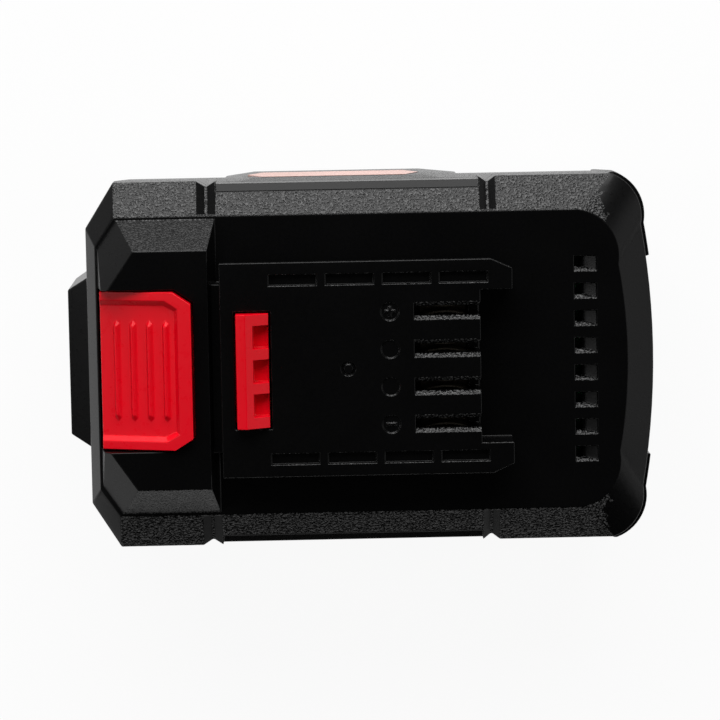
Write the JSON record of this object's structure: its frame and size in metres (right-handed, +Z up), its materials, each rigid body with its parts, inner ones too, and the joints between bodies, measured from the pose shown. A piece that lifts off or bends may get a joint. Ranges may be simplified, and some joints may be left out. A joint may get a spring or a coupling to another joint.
{
  "type": "power tool battery pack",
  "caption": "Slide-on battery pack for cordless tools with a rail plate, slotted terminals, a sprung red release button and hook, and a bare side label.",
  "frame": {"origin": "under the middle of the pack, on the surface that it stands on", "axes": "+X from the nose under the release button to the terminal end, +Y across, +Z up to the slide plate"},
  "size_m": [0.1186, 0.0746, 0.063],
  "materials": {
    "shell_black": "spark-textured satin nylon",
    "latch_red": "smooth satin",
    "spring_steel": "drawn wire",
    "retainer_black": "moulded",
    "screw_steel": "blackened",
    "cell_can": "shrink sleeve",
    "frame_grey": "moulded",
    "nickel": "rolled strip",
    "barrier_paper": "pressed board",
    "pad_foam": "closed-cell foam",
    "board_green": "solder mask",
    "chip_black": "moulded package",
    "shunt_alloy": "rolled",
    "capacitor_tan": "fired",
    "contact_copper": "formed spring alloy",
    "window_smoke": "polished",
    "lamp_lens": "clear",
    "key_grey": "soft matte",
    "lead_white": "flat film",
    "sensor_bead": "dipped",
    "label_copper": "bare metallic film",
    "label_grey": "bare satin film"
  },
  "bodies": {
    "pack": {"upper_shell": "shell_black", "lower_shell": "shell_black", "latch_springs": "spring_steel", "latch_retainer": "retainer_black", "retainer_screws": "screw_steel", "board_screws": "screw_steel", "housing_screws": "screw_steel", "cell_01": "cell_can", "cell_02": "cell_can", "cell_03": "cell_can", "cell_04": "cell_can", "cell_05": "cell_can", "cell_06": "cell_can", "cell_07": "cell_can", "cell_08": "cell_can", "cell_09": "cell_can", "cell_10": "cell_can", "cell_frame_left": "frame_grey", "cell_frame_right": "frame_grey", "terminal_block": "frame_grey", "nickel_strip_1": "nickel", "nickel_strip_2": "nickel", "nickel_strip_3": "nickel", "nickel_strip_4": "nickel", "nickel_strip_5": "nickel", "nickel_strip_6": "nickel", "insulator_left": "barrier_paper", "insulator_right": "barrier_paper", "base_pad": "pad_foam", "protection_board": "board_green", "gauge_board": "board_green", "power_transistors": "chip_black", "control_chip": "chip_black", "gauge_switch": "chip_black", "current_shunt": "shunt_alloy", "board_capacitors": "capacitor_tan", "contact_1": "contact_copper", "contact_2": "contact_copper", "contact_3": "contact_copper", "contact_4": "contact_copper", "gauge_window": "window_smoke", "gauge_lamps": "lamp_lens", "gauge_lead": "lead_white", "temperature_sensor": "sensor_bead", "side_label_left": "label_copper", "side_label_right": "label_copper", "rating_label": "label_grey"},
    "latch": {"release_latch": "latch_red"},
    "gauge_key": {"gauge_button": "key_grey"}
  },
  "joints": [
    {"name": "latch_press", "type": "slide", "parent": "pack", "child": "latch", "axis": [0, 0, -1], "range_m": [0, 0.0044], "stiffness_N_per_m": 1500, "springref_m": -0.003, "deforming": ["latch_springs"]},
    {"name": "gauge_press", "type": "slide", "parent": "pack", "child": "gauge_key", "axis": [1, 0, 0], "range_m": [0, 0.0006], "stiffness_N_per_m": 600, "springref_m": -0.001}
  ]
}
